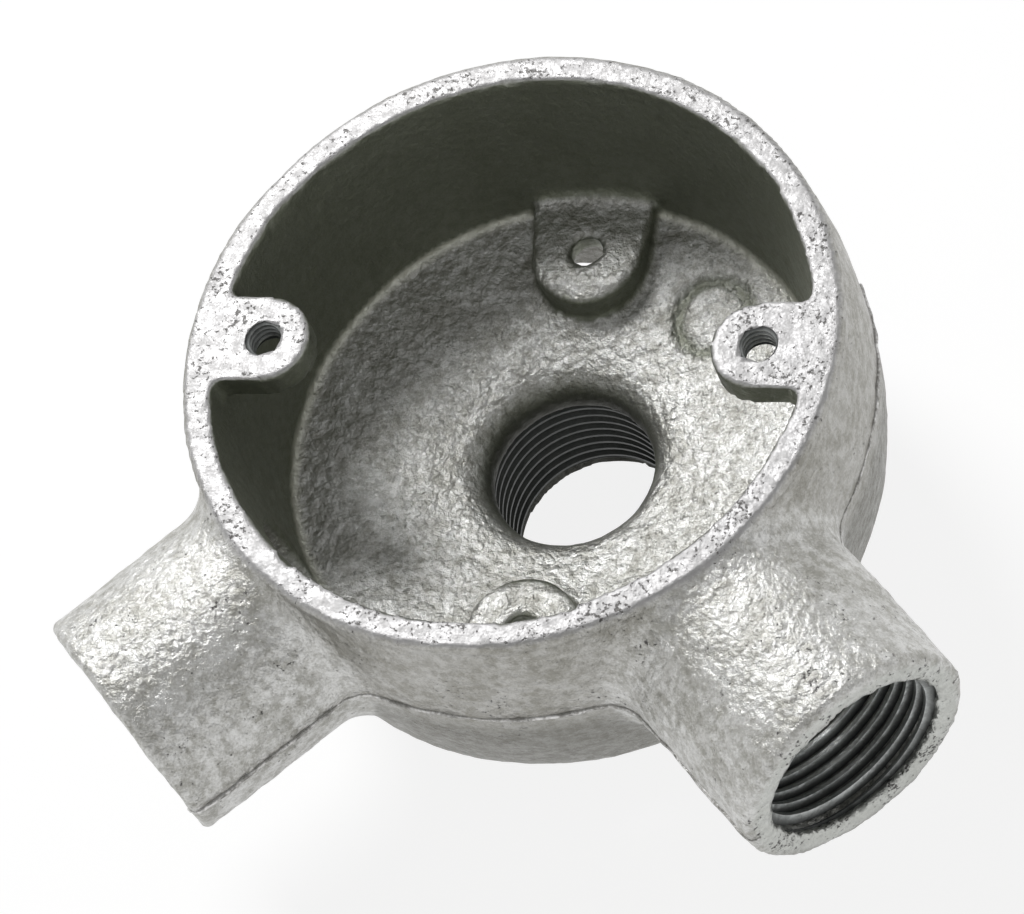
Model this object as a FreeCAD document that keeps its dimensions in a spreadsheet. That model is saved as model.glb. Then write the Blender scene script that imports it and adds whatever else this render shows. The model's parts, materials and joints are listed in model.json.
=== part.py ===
import FreeCAD, Part
import math
import os
import Sketcher

# ---------------------------------------------------------------------------
# Back-outlet angle box for 20 mm screwed steel conduit: one malleable iron
# casting, hot-dip galvanised.  Millimetres, +Z out of the open mouth.
# The origin is the middle of the rim face, half way between the cover screws,
# which lie along X.  The two side outlets leave towards -Y, each turned the
# same angle from it, and the back outlet leaves along -Z.
# ---------------------------------------------------------------------------

SIZES = [
    # the bowl
    ("box_depth", 30.8, "rim face to the outside of the base"),
    ("cavity_depth", 21.5, "rim face to the floor at its outer edge"),
    ("mouth_radius", 30.6, "inside of the wall at the rim face"),
    ("floor_radius", 28.6, "inside of the wall at the floor"),
    ("rim_wall", 2.6, "wall thickness at the rim, without the bead"),
    ("bead_stand", 0.45, "how far the rim bead stands out from the wall"),
    ("bead_depth", 1.5, "height of the rim bead"),
    ("parting_swell", 1.3, "growth of the outside from the rim to the parting plane"),
    ("base_taper", 2.3, "draft of the outside from the parting plane to the base"),
    ("base_round", 3.3, "rounding of the outside edge of the base"),
    ("floor_fall", 3.8, "fall of the floor from its outer edge to the throat"),
    ("floor_wall", 3.2, "thickness of the floor"),
    ("floor_round", 0.9, "inside corner between wall and floor"),
    ("skirt_wall", 5.0, "wall left round the hollow underside"),
    ("hollow_round", 1.5, "corners of the hollow underside"),
    # conduit outlets, tapped M20 x 1.5
    ("spout_cover", 0.95, "rim face to the top of a side spout"),
    ("side_angle", 45.0, "each side outlet from -Y, in degrees"),
    ("side_reach", 52.5, "box axis to a side spout's end face"),
    ("back_reach", 13.2, "outside of the base to the back spout's end face"),
    ("spout_blend", 4.5, "fillet where a side spout leaves the bowl"),
    ("spout_edge", 0.8, "rounding of a spout's outer end edge"),
    ("tap_radius", 9.25, "bore of a tapped stretch"),
    ("spout_wall", 3.55, "metal of a spout round its tapped stretch"),
    ("tap_length", 15.0, "length of a tapped stretch"),
    ("tap_lead", 0.9, "lead-in chamfer at a mouth"),
    ("back_throat", 8.6, "radius of the smooth throat over the back outlet"),
    ("throat_flare", 4.2, "rounding from the floor down into the back throat"),
    ("side_throat", 8.0, "radius of the smooth throat of a side outlet"),
    # cover-screw lugs, tapped M4
    ("lug_spacing", 50.8, "between the two lug holes"),
    ("lug_radius", 4.75, "nose of a lug about its hole"),
    ("lug_thickness", 3.4, "thickness of a lug"),
    ("lug_round", 1.2, "corner between a lug and the wall"),
    ("lug_hole", 3.3, "tapping diameter of a lug hole"),
    # fixing bosses
    ("boss_spacing", 44.2, "between the two fixing holes"),
    ("boss_radius", 6.0, "nose of a boss about its hole"),
    ("boss_flare", 6.0, "each side of a boss from square to the wall, in degrees"),
    ("boss_depth", 19.6, "rim face to the flat top of a boss"),
    ("boss_plate", 2.6, "metal left between a boss's top and the pocket under it"),
    ("boss_wall", 2.6, "metal left round the pocket under a boss"),
    ("boss_round", 0.7, "rounded top edge of a boss"),
    ("boss_hole", 3.6, "diameter of a fixing hole"),
    # sunk disc on the floor
    ("disc_radius", 4.6, "radius of the disc"),
    ("disc_place", 21.3, "box axis to the middle of the disc"),
    ("disc_azimuth", 49.5, "direction of the disc from +X, in degrees"),
    ("disc_depth", 0.5, "depth of the disc's bed under the floor"),
]

DERIVED = [
    ("axis_depth", "=spout_radius + spout_cover", "rim face to the plane of the side outlets' axes"),
    ("axis_height", "=-axis_depth", "height of the side outlets' axes; the rim face is at 0"),
    ("base_height", "=-box_depth", "height of the outside of the base"),
    ("back_end", "=base_height - back_reach", "height of the back spout's end face"),
    ("floor_edge", "=-cavity_depth", "height of the floor at its outer edge"),
    ("floor_low", "=floor_edge - floor_fall", "height of the floor at the throat"),
    ("floor_slope", "=floor_fall / (floor_radius - back_throat)", "fall over run of the floor"),
    ("wall_radius", "=mouth_radius + rim_wall", "outside of the wall at the rim"),
    ("swell_radius", "=wall_radius + parting_swell", "outside at the parting plane"),
    ("base_radius", "=swell_radius - base_taper", "outside at the base"),
    ("skirt_radius", "=base_radius - skirt_wall", "inside of the hollow underside"),
    ("roof_edge", "=floor_edge - floor_wall - floor_slope * (floor_radius - skirt_radius)",
     "height of the hollow's roof at the skirt"),
    ("roof_low", "=floor_edge - floor_wall - floor_slope * (floor_radius - spout_radius)",
     "height of the hollow's roof at the back spout"),
    ("blank_top", "=2 * spout_blend", "top of the blank before it is faced"),
    ("blank_foot", "=base_height - 2 * spout_blend", "foot of the blank before it is faced"),
    ("spout_radius", "=tap_radius + spout_wall", "outside of every spout"),
    ("face_radius", "=2 * side_reach", "reach of the facing cuts, past every spout"),
    ("side_tap", "=side_reach - tap_length", "box axis to a side outlet's end stop"),
    ("tap_step", "=tap_radius - back_throat", "height of the back outlet's end stop"),
    ("side_step", "=tap_radius - side_throat", "height of a side outlet's end stop"),
    ("lug_place", "=lug_spacing / 2", "box axis to a lug hole"),
    ("wall_middle", "=mouth_radius + rim_wall / 2", "middle of the wall at the rim"),
    ("boss_place", "=boss_spacing / 2", "box axis to a fixing hole"),
    ("boss_top", "=-boss_depth", "height of a boss's flat top"),
    ("boss_end", "=floor_radius + rim_wall", "box axis to where a boss ends, inside the wall"),
    ("boss_side", "=boss_radius * cos(boss_flare)", "half width of a boss where its nose begins"),
    ("boss_start", "=boss_place - boss_radius * sin(boss_flare)", "box axis to there"),
    ("boss_half", "=boss_side + (boss_end - boss_start) * tan(boss_flare)", "half width at the wall"),
    ("pocket_radius", "=boss_radius - boss_wall", "nose of the pocket under a boss"),
    ("pocket_end", "=skirt_radius - floor_wall / 2", "box axis to the pocket's outer end"),
    ("pocket_top", "=boss_top - boss_plate", "height of the pocket's flat top"),
    ("disc_floor", "=floor_edge - floor_slope * (floor_radius - disc_place)", "floor height there"),
]

doc = FreeCAD.newDocument("conduit_box")
sheet = doc.addObject("Spreadsheet::Sheet", "sizes")


def fill_sheet(first_row, entries):
    """Write names, values and meanings into the sheet, and make each name an alias."""
    for row, (alias, value, meaning) in enumerate(entries, start=first_row):
        sheet.set("A%d" % row, alias)
        sheet.set("B%d" % row, str(value))
        sheet.set("C%d" % row, meaning)
        sheet.setAlias("B%d" % row, alias)
    doc.recompute()


fill_sheet(1, SIZES)
fill_sheet(len(SIZES) + 2, DERIVED)


def worth(formula):
    """The present value of a formula written in the sheet's aliases."""
    result = sheet.evalExpression(formula.replace("sizes.", ""))
    return float(getattr(result, "Value", result))


body = doc.addObject("PartDesign::Body", "conduit_body")
body.Label = "conduit_body"


def origin_plane(role):
    """One of the body's own origin planes, found by its role."""
    for feature in body.Origin.OriginFeatures:
        if feature.Role == role:
            return feature
    raise RuntimeError("no origin plane " + role)


def new_sketch(name, role, height="0", turn_axis=(0, 0, 1), turn="0"):
    """A sketch on an origin plane, raised along its normal and turned about one of its own axes."""
    sketch = body.newObject("Sketcher::SketchObject", name)
    sketch.AttachmentSupport = [(origin_plane(role), "")]
    sketch.MapMode = "FlatFace"
    rotation = FreeCAD.Rotation(FreeCAD.Vector(*turn_axis), 1.0)
    sketch.AttachmentOffset = FreeCAD.Placement(FreeCAD.Vector(0, 0, 0), rotation)
    sketch.setExpression(".AttachmentOffset.Base.z", height)
    sketch.setExpression(".AttachmentOffset.Rotation.Angle", turn)
    return sketch


def point_at(place):
    """The point of a place given as a pair of formulas, across and up."""
    return FreeCAD.Vector(worth(place[0]), worth(place[1]), 0)


def pin(sketch, geo, end, place):
    """Tie one point of a sketch to the sheet, across and up from the sketch's origin."""
    for kind, formula, axis in (("DistanceX", place[0], -2), ("DistanceY", place[1], -1)):
        if formula == "0":
            sketch.addConstraint(Sketcher.Constraint("PointOnObject", geo, end, axis))
            continue
        name = "%s_%d_%d" % (kind, geo, end)
        rule = Sketcher.Constraint(kind, -1, 1, geo, end, worth(formula))
        sketch.renameConstraint(sketch.addConstraint(rule), name)
        sketch.setExpression("Constraints." + name, formula)


def outline(sketch, *places):
    """A closed outline through places given as pairs of formulas.

    A place that starts with the word "through" bends the run between its
    two neighbours into an arc that passes through it.
    """
    count = len(places)
    for index, corner in enumerate(places):
        if corner[0] == "through":
            continue
        following = places[(index + 1) % count]
        if following[0] != "through":
            run = Part.LineSegment(point_at(corner), point_at(following))
            geo = sketch.addGeometry(run, False)
        else:
            middle = following[1:]
            following = places[(index + 2) % count]
            run = Part.Arc(point_at(corner), point_at(middle), point_at(following))
            geo = sketch.addGeometry(run, False)
            mark = sketch.addGeometry(Part.Point(point_at(middle)), True)
            pin(sketch, mark, 1, middle)
            sketch.addConstraint(Sketcher.Constraint("PointOnObject", mark, 1, geo))
        begins_here = sketch.Geometry[geo].StartPoint.isEqual(point_at(corner), 1e-6)
        near_end, far_end = (1, 2) if begins_here else (2, 1)
        pin(sketch, geo, near_end, corner)
        pin(sketch, geo, far_end, following)


def circle(sketch, place, radius):
    """A circle about a place, with its radius from the sheet."""
    curve = Part.Circle(point_at(place), FreeCAD.Vector(0, 0, 1), worth(radius))
    geo = sketch.addGeometry(curve, False)
    pin(sketch, geo, 3, place)
    name = "radius_%d" % geo
    rule = Sketcher.Constraint("Radius", geo, worth(radius))
    sketch.renameConstraint(sketch.addConstraint(rule), name)
    sketch.setExpression("Constraints." + name, radius)


steps = []


def finished(feature, grows):
    """Compute a feature as the body's tip; refuse one that failed or cut or added nothing."""
    before = steps[-1].Shape.Volume if steps else 0.0
    steps.append(feature)
    body.Tip = feature
    doc.recompute()
    if "Invalid" in feature.State or "Error" in feature.State or feature.Shape.isNull():
        raise RuntimeError(feature.Name + " failed")
    change = feature.Shape.Volume - before
    if grows is not None and change * (1 if grows else -1) < 0.01:
        raise RuntimeError("%s changed the volume by %.3f" % (feature.Name, change))
    return feature


def turned(kind, name, sketch, axis):
    """A full turn of a sketch about one of its own axes: a Revolution adds, a Groove cuts."""
    feature = body.newObject("PartDesign::" + kind, name)
    feature.Profile = sketch
    feature.ReferenceAxis = (sketch, [axis])
    feature.Angle = 360
    return finished(feature, kind == "Revolution")


def straight(kind, name, sketch, length, backwards=False):
    """A sketch pushed straight along its normal: a Pad adds, a Pocket cuts."""
    feature = body.newObject("PartDesign::" + kind, name)
    feature.Profile = sketch
    feature.setExpression("Length", length)
    feature.Reversed = backwards
    return finished(feature, kind == "Pad")


def drilled(name, sketch, diameter, depth):
    """A plain round hole at each circle of a sketch, downwards from it."""
    doc.recompute()
    feature = body.newObject("PartDesign::Hole", name)
    feature.Profile = sketch
    feature.ThreadType = "None"
    feature.DepthType = "Dimension"
    feature.DrillPoint = "Flat"
    feature.setExpression("Diameter", diameter)
    feature.setExpression("Depth", depth)
    return finished(feature, False)


def mirrored(name, originals, role, grows):
    """The same features on the other side of an origin plane."""
    feature = body.newObject("PartDesign::Mirrored", name)
    feature.Originals = originals
    feature.MirrorPlane = (origin_plane(role), [""])
    return finished(feature, grows)


def rounded(name, test, radius):
    """A fillet on every edge of the present solid that passes a test."""
    base = steps[-1]
    names = ["Edge%d" % n for n, edge in enumerate(base.Shape.Edges, start=1) if test(edge)]
    if not names:
        raise RuntimeError("no edge for " + name)
    feature = body.newObject("PartDesign::Fillet", name)
    feature.Base = (base, names)
    feature.setExpression("Radius", radius)
    return finished(feature, None)


def same(value, wanted):
    """True where two lengths agree within a hundredth of a millimetre."""
    return abs(value - wanted) < 0.01


def from_axis(point):
    """Distance of a point from the box axis."""
    return math.hypot(point.x, point.y)


def level_edge(height):
    """A test for edges that lie level at a height."""
    def test(edge):
        box = edge.BoundBox
        return same(box.ZMin, worth(height)) and same(box.ZMax, worth(height))
    return test


def ring_edge(height, radius):
    """A test for level circles about the box axis at a height and a radius."""
    def test(edge):
        ends_fit = all(same(from_axis(v.Point), worth(radius)) for v in edge.Vertexes)
        return level_edge(height)(edge) and ends_fit
    return test


# --- outside of the bowl ----------------------------------------------------
# A barrel, widest at the parting plane, with draft up to the rim and down to
# the base.  The blank runs past both ends so that the spouts' blends have
# wall to run out on; both ends are faced off once the blends are made.

blank_outline = new_sketch("blank_outline", "XZ_Plane")
outline(
    blank_outline,
    ("0", "sizes.blank_foot"),
    ("sizes.base_radius", "sizes.blank_foot"),
    ("sizes.base_radius", "sizes.base_height"),
    ("through", "sizes.swell_radius", "sizes.axis_height"),
    ("sizes.wall_radius", "0"),
    ("sizes.wall_radius", "sizes.blank_top"),
    ("0", "sizes.blank_top"))
turned("Revolution", "bowl_blank", blank_outline, "V_Axis")

spout_outline = new_sketch("spout_outline", "XZ_Plane", turn_axis=(0, 1, 0), turn="sizes.side_angle")
circle(spout_outline, ("0", "sizes.axis_height"), "sizes.spout_radius")
side_spout = straight("Pad", "side_spout", spout_outline, "sizes.side_reach")
mirrored("side_spout_pair", [side_spout], "YZ_Plane", True)


def spout_meets_bowl(edge):
    """The only free-form curves so far are those where a spout leaves the barrel."""
    return edge.Curve.TypeId == "Part::GeomBSplineCurve"


rounded("side_spout_blend", spout_meets_bowl, "sizes.spout_blend")

rim_facing = new_sketch("rim_facing_outline", "XY_Plane")
circle(rim_facing, ("0", "0"), "sizes.face_radius")
straight("Pocket", "rim_facing", rim_facing, "2 * sizes.spout_blend + 1", True)

base_facing = new_sketch("base_facing_outline", "XY_Plane", "sizes.base_height")
circle(base_facing, ("0", "0"), "sizes.face_radius")
straight("Pocket", "base_facing", base_facing, "2 * sizes.spout_blend + 1")

rounded("base_rounding", level_edge("sizes.base_height"), "sizes.base_round")

# A low bead runs round the outside of the rim.
bead_outline = new_sketch("bead_outline", "XZ_Plane")
outline(
    bead_outline,
    ("sizes.wall_middle", "0"),
    ("sizes.wall_middle", "-sizes.bead_depth"),
    ("sizes.wall_radius", "-sizes.bead_depth"),
    ("through", "sizes.wall_radius + sizes.bead_stand", "-sizes.bead_depth / 2"),
    ("sizes.wall_radius", "0"))
turned("Revolution", "rim_bead", bead_outline, "V_Axis")

# --- back spout and cavity --------------------------------------------------
back_outline = new_sketch("back_spout_outline", "XY_Plane", "sizes.back_end")
circle(back_outline, ("0", "0"), "sizes.spout_radius")
straight("Pad", "back_spout", back_outline, "sizes.back_reach + sizes.floor_wall")

# One groove turns the whole inside: the drafted wall, the floor that falls to
# the middle, the smooth throat, the end stop and the tapped bore to its mouth.
cavity_outline = new_sketch("cavity_outline", "XZ_Plane")
outline(
    cavity_outline,
    ("0", "0"),
    ("sizes.mouth_radius", "0"),
    ("sizes.floor_radius", "sizes.floor_edge"),
    ("sizes.back_throat", "sizes.floor_low"),
    ("sizes.back_throat", "sizes.back_end + sizes.tap_length"),
    ("sizes.tap_radius", "sizes.back_end + sizes.tap_length - sizes.tap_step"),
    ("sizes.tap_radius", "sizes.back_end + sizes.tap_lead"),
    ("sizes.tap_radius + sizes.tap_lead", "sizes.back_end"),
    ("0", "sizes.back_end"))
turned("Groove", "cavity", cavity_outline, "V_Axis")
rounded("throat_flare", ring_edge("sizes.floor_low", "sizes.back_throat"), "sizes.throat_flare")
rounded("floor_rounding", ring_edge("sizes.floor_edge", "sizes.floor_radius"), "sizes.floor_round")

# --- fixing bosses and hollow underside -------------------------------------
# Each boss is a U-shaped pad that grows out of the wall.  It is padded deep
# into the floor; the hollow underside, cut next, trims what runs through.
boss_outline = new_sketch("boss_outline", "XY_Plane", "sizes.boss_top")
outline(
    boss_outline,
    ("sizes.boss_half", "sizes.boss_end"),
    ("-sizes.boss_half", "sizes.boss_end"),
    ("-sizes.boss_side", "sizes.boss_start"),
    ("through", "0", "sizes.boss_place - sizes.boss_radius"),
    ("sizes.boss_side", "sizes.boss_start"))
boss = straight("Pad", "boss", boss_outline, "sizes.boss_top - sizes.floor_low", True)
mirrored("boss_pair", [boss], "XZ_Plane", True)


def boss_rim(edge):
    """The straight sides and the nose of a boss, round its flat top."""
    nose = edge.Curve.TypeId == "Part::GeomCircle" and same(edge.Curve.Radius, worth("sizes.boss_radius"))
    side = edge.Curve.TypeId == "Part::GeomLine"
    return level_edge("sizes.boss_top")(edge) and (nose or side)


rounded("boss_rounding", boss_rim, "sizes.boss_round")

# The underside is hollow between the back spout and a skirt, so that the
# floor keeps one thickness.  Its roof falls with the floor above it.
hollow_outline = new_sketch("hollow_outline", "XZ_Plane")
outline(
    hollow_outline,
    ("sizes.spout_radius", "sizes.base_height - 1"),
    ("sizes.skirt_radius", "sizes.base_height - 1"),
    ("sizes.skirt_radius", "sizes.roof_edge"),
    ("sizes.spout_radius", "sizes.roof_low"))
turned("Groove", "hollow_underside", hollow_outline, "V_Axis")
rounded("hollow_rounding", ring_edge("sizes.roof_edge", "sizes.skirt_radius"), "sizes.hollow_round")
rounded("back_spout_root", ring_edge("sizes.roof_low", "sizes.spout_radius"), "sizes.hollow_round")

# A pocket of the same form under each boss keeps its top one thickness too.
pocket_outline = new_sketch("boss_pocket_outline", "XY_Plane", "sizes.base_height")
outline(
    pocket_outline,
    ("sizes.pocket_radius", "sizes.pocket_end"),
    ("-sizes.pocket_radius", "sizes.pocket_end"),
    ("-sizes.pocket_radius", "sizes.boss_place"),
    ("through", "0", "sizes.boss_place - sizes.pocket_radius"),
    ("sizes.pocket_radius", "sizes.boss_place"))
pocket = straight("Pocket", "boss_pocket", pocket_outline, "sizes.pocket_top - sizes.base_height", True)
mirrored("boss_pocket_pair", [pocket], "XZ_Plane", False)

boss_drilling = new_sketch("boss_hole_outline", "XY_Plane", "sizes.boss_top")
circle(boss_drilling, ("0", "sizes.boss_place"), "sizes.boss_hole / 2")
boss_hole = drilled("boss_hole", boss_drilling, "sizes.boss_hole", "sizes.boss_plate + 1")
mirrored("boss_hole_pair", [boss_hole], "XZ_Plane", False)

# --- side outlets -----------------------------------------------------------
# One groove about the spout's own axis: throat, end stop, tapped bore, mouth.
bore_outline = new_sketch(
    "side_bore_outline", "XY_Plane", "sizes.axis_height", turn="sizes.side_angle - 90")
outline(
    bore_outline,
    ("sizes.floor_radius / 2", "0"),
    ("sizes.floor_radius / 2", "sizes.side_throat"),
    ("sizes.side_tap", "sizes.side_throat"),
    ("sizes.side_tap + sizes.side_step", "sizes.tap_radius"),
    ("sizes.side_reach - sizes.tap_lead", "sizes.tap_radius"),
    ("sizes.side_reach", "sizes.tap_radius + sizes.tap_lead"),
    ("sizes.side_reach", "0"))
side_bore = turned("Groove", "side_bore", bore_outline, "H_Axis")
mirrored("side_bore_pair", [side_bore], "YZ_Plane", False)

# --- cover-screw lugs -------------------------------------------------------
lug_outline = new_sketch("lug_outline", "XY_Plane")
outline(
    lug_outline,
    ("sizes.wall_middle", "sizes.lug_radius"),
    ("sizes.lug_place", "sizes.lug_radius"),
    ("through", "sizes.lug_place - sizes.lug_radius", "0"),
    ("sizes.lug_place", "-sizes.lug_radius"),
    ("sizes.wall_middle", "-sizes.lug_radius"))
lug = straight("Pad", "lug", lug_outline, "sizes.lug_thickness", True)
mirrored("lug_pair", [lug], "YZ_Plane", True)


def lug_corner(edge):
    """The upright edges where a lug's sides meet the wall."""
    upright = edge.BoundBox.ZLength > worth("sizes.lug_thickness") - 0.01
    beside_lug = all(same(abs(v.Point.y), worth("sizes.lug_radius")) for v in edge.Vertexes)
    on_wall = all(from_axis(v.Point) > worth("sizes.lug_place + sizes.lug_radius / 2") for v in edge.Vertexes)
    return upright and beside_lug and on_wall


rounded("lug_rounding", lug_corner, "sizes.lug_round")

lug_drilling = new_sketch("lug_hole_outline", "XY_Plane")
circle(lug_drilling, ("sizes.lug_place", "0"), "sizes.lug_hole / 2")
lug_hole = drilled("lug_hole", lug_drilling, "sizes.lug_hole", "sizes.lug_thickness + 1")
mirrored("lug_hole_pair", [lug_hole], "YZ_Plane", False)

# --- sunk disc on the floor -------------------------------------------------
# A plain round bed.  Its sketch leans with the floor under it, so that the
# bed is equally deep all round.
disc_outline = body.newObject("Sketcher::SketchObject", "disc_outline")
disc_outline.AttachmentSupport = [(origin_plane("XY_Plane"), "")]
disc_outline.MapMode = "FlatFace"
disc_outline.setExpression(".AttachmentOffset.Base.x", "sizes.disc_place * cos(sizes.disc_azimuth)")
disc_outline.setExpression(".AttachmentOffset.Base.y", "sizes.disc_place * sin(sizes.disc_azimuth)")
disc_outline.setExpression(".AttachmentOffset.Base.z", "sizes.disc_floor")
disc_outline.setExpression(".AttachmentOffset.Rotation.Yaw", "sizes.disc_azimuth")
disc_outline.setExpression(".AttachmentOffset.Rotation.Pitch", "-atan(sizes.floor_slope)")
circle(disc_outline, ("0", "0"), "sizes.disc_radius")
straight("Pocket", "disc_bed", disc_outline, "sizes.disc_depth")


# --- end faces --------------------------------------------------------------
def spout_end(edge):
    """The outer edge of a spout's end face, side or back."""
    if edge.Curve.TypeId != "Part::GeomCircle" or not same(edge.Curve.Radius, worth("sizes.spout_radius")):
        return False
    at_side_end = same(from_axis(edge.Curve.Center), worth("sizes.side_reach"))
    return at_side_end or level_edge("sizes.back_end")(edge)


rounded("spout_edges", spout_end, "sizes.spout_edge")


# --- checks and files -------------------------------------------------------
doc.recompute()
for thing in doc.Objects:
    if "Invalid" in thing.State or "Error" in thing.State:
        raise RuntimeError(thing.Name + " is not up to date")

os.makedirs("parts", exist_ok=True)
for piece in [body]:
    shape = piece.Shape
    if shape.isNull() or not shape.isValid() or len(shape.Solids) != 1:
        raise RuntimeError(piece.Label + " is not one valid solid")
    shape.exportStep(os.path.join("parts", piece.Label + ".step"))
    box = shape.BoundBox
    print("%s: %.1f cm3, %.2f x %.2f x %.2f mm" % (
        piece.Label, shape.Volume / 1000, box.XLength, box.YLength, box.ZLength))
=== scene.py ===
# %% [markdown]
# # A galvanised conduit box
# This lesson dresses one iron casting: a round box for screwed steel conduit,
# with two side spouts, a back spout, two lugs for the cover screws and two
# fixing bosses. The form comes from the CAD model. Here it gets its cast skin,
# its threads, its parting line and its zinc, then a floor, a light and a camera.

# %% Load the frame
import json
import math

import bmesh
import bpy
import numpy as np
from mathutils import Matrix, Vector, noise


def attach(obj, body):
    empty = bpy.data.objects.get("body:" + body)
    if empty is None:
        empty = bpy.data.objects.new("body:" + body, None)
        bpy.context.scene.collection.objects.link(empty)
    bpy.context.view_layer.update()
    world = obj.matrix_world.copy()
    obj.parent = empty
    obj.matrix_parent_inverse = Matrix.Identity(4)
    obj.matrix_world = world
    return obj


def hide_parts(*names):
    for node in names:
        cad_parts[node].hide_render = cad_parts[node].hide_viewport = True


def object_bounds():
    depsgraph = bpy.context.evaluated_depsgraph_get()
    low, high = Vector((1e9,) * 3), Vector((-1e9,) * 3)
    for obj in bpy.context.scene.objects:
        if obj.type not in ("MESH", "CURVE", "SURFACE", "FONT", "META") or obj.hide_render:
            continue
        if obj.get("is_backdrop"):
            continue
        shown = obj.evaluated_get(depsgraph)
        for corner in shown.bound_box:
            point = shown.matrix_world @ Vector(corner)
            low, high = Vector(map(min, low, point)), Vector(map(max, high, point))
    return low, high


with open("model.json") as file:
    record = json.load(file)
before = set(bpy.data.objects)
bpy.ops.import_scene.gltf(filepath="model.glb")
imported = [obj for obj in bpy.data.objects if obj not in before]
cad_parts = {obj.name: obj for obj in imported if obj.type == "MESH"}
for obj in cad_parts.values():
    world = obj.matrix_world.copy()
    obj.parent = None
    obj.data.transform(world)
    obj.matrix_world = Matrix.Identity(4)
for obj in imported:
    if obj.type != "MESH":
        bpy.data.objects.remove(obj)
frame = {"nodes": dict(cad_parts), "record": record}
cad_low, cad_high = (Vector(corner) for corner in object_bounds())
print("CAD box in mm", [round(v * 1000, 2) for v in (*cad_low, *cad_high)])

MM = 0.001
scene = bpy.context.scene
casting = frame["nodes"]["conduit_body"]
mounts = {mount["name"]: mount for mount in frame["record"]["mounts"]}

# %% [markdown]
# ## The camera
# The box is seen from above and a little to the right through a long lens.
# The camera is also rolled about its own axis, so the box seems to lean. It is
# placed by plain angles about a point inside the box, which is easier to
# change than a matrix.

# %% Place the camera
AIM = Vector((-2.504, -5.012, -15.0)) * MM
VIEW_AZIMUTH = math.radians(33.66)
VIEW_ELEVATION = math.radians(57.86)
VIEW_ROLL = math.radians(-28.2)
VIEW_DISTANCE = 396.64 * MM
LENS = 137.93


def place_camera():
    """A camera that looks at the aim point, rolled about its own axis."""
    back = Vector((
        math.sin(VIEW_AZIMUTH) * math.cos(VIEW_ELEVATION),
        -math.cos(VIEW_AZIMUTH) * math.cos(VIEW_ELEVATION),
        math.sin(VIEW_ELEVATION)))
    level = Vector((math.cos(VIEW_AZIMUTH), math.sin(VIEW_AZIMUTH), 0))
    rise = back.cross(level)
    across = level * math.cos(VIEW_ROLL) + rise * math.sin(VIEW_ROLL)
    upward = back.cross(across)
    data = bpy.data.cameras.new("camera")
    data.lens = LENS
    data.clip_start = 0.01
    data.clip_end = 20
    camera = bpy.data.objects.new("camera", data)
    turn = Matrix((across, upward, back)).transposed().to_4x4()
    camera.matrix_world = Matrix.Translation(AIM + back * VIEW_DISTANCE) @ turn
    scene.collection.objects.link(camera)
    return camera


scene.camera = place_camera()
print("camera at", [round(v / MM, 1) for v in scene.camera.matrix_world.translation], "mm")

# %% [markdown]
# ## A skin that can carry relief
# The CAD mesh is made of long thin triangles, which can't be dented. A voxel
# remesh gives a copy of it even faces about 0.6 mm wide, and Shrinkwrap pulls
# them back onto the true surface, so no size is lost.

# %% Remesh a copy of the casting
GRAIN = 0.59 * MM


def finished_mesh(thing, name):
    """The thing's mesh with its modifiers applied; the modifiers are then removed."""
    graph = bpy.context.evaluated_depsgraph_get()
    mesh = bpy.data.meshes.new_from_object(thing.evaluated_get(graph))
    thing.modifiers.clear()
    mesh.name = name
    return mesh


def merged_copy(source, name):
    """A new object with the source's mesh, its doubled corners merged."""
    form = bmesh.new()
    form.from_mesh(source.data)
    bmesh.ops.remove_doubles(form, verts=form.verts, dist=0.002 * MM)
    mesh = bpy.data.meshes.new(name)
    form.to_mesh(mesh)
    form.free()
    copy = bpy.data.objects.new(name, mesh)
    scene.collection.objects.link(copy)
    return copy


true_form = merged_copy(casting, "true_form")
body = merged_copy(casting, "cast_body")
remesh = body.modifiers.new("even faces", "REMESH")
remesh.mode = "VOXEL"
remesh.voxel_size = GRAIN
wrap = body.modifiers.new("back onto the form", "SHRINKWRAP")
wrap.target = true_form
wrap.wrap_method = "NEAREST_SURFACEPOINT"
body.data = finished_mesh(body, "cast_body")
bpy.data.objects.remove(true_form)
print("skin has", len(body.data.vertices), "corners and",
      len(body.data.polygons) * 2, "triangles")

# %% [markdown]
# ## Where things are
# The outlets, lug holes and fixing holes are read from the frame's mounts. A
# few sizes of the bowl are named here. All the work on the skin is done in
# millimetres on plain arrays, because thousands of corners move at once. Most
# of it is told where to act by a soft step: a pair of numbers, one where the
# effect is nothing and one where it is full.

# %% Name the places
MOUTH_RADIUS = 30.6
FLOOR_RADIUS = 28.6
FLOOR_EDGE = -21.5
FLOOR_SLOPE = 0.19
THROAT_RADIUS = 8.6
BOSS_HALF_WIDTH = 6.0
SPOUT_REACH = 52.5
SPOUT_RADIUS = 12.8
TINY = 1e-6


def in_mm(values):
    """A frame position as an array in millimetres."""
    return np.array(values) / MM


def corners_in_mm(mesh):
    """The corners of a mesh, one row each, in millimetres."""
    places = np.empty(len(mesh.vertices) * 3)
    mesh.vertices.foreach_get("co", places)
    return places.reshape(-1, 3) / MM


def move_corners(mesh, places):
    """Put the corners of a mesh at these places, given in millimetres."""
    mesh.vertices.foreach_set("co", (places * MM).ravel())
    mesh.update()


outlets = [mounts[name] for name in ("outlet_left", "outlet_right", "back_outlet")]
boss_top = mounts["fixing_holes"]["pos_m"][2] / MM
parting_height = mounts["outlet_left"]["pos_m"][2] / MM

count = len(body.data.vertices)
skin = corners_in_mm(body.data)
facing = np.empty(count * 3)
body.data.vertex_normals.foreach_get("vector", facing)
facing = facing.reshape(count, 3)


def step(low, high, values):
    """A smooth rise from 0 at low to 1 at high."""
    share = np.clip((values - low) / (high - low), 0, 1)
    return share * share * (3 - 2 * share)


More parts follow.
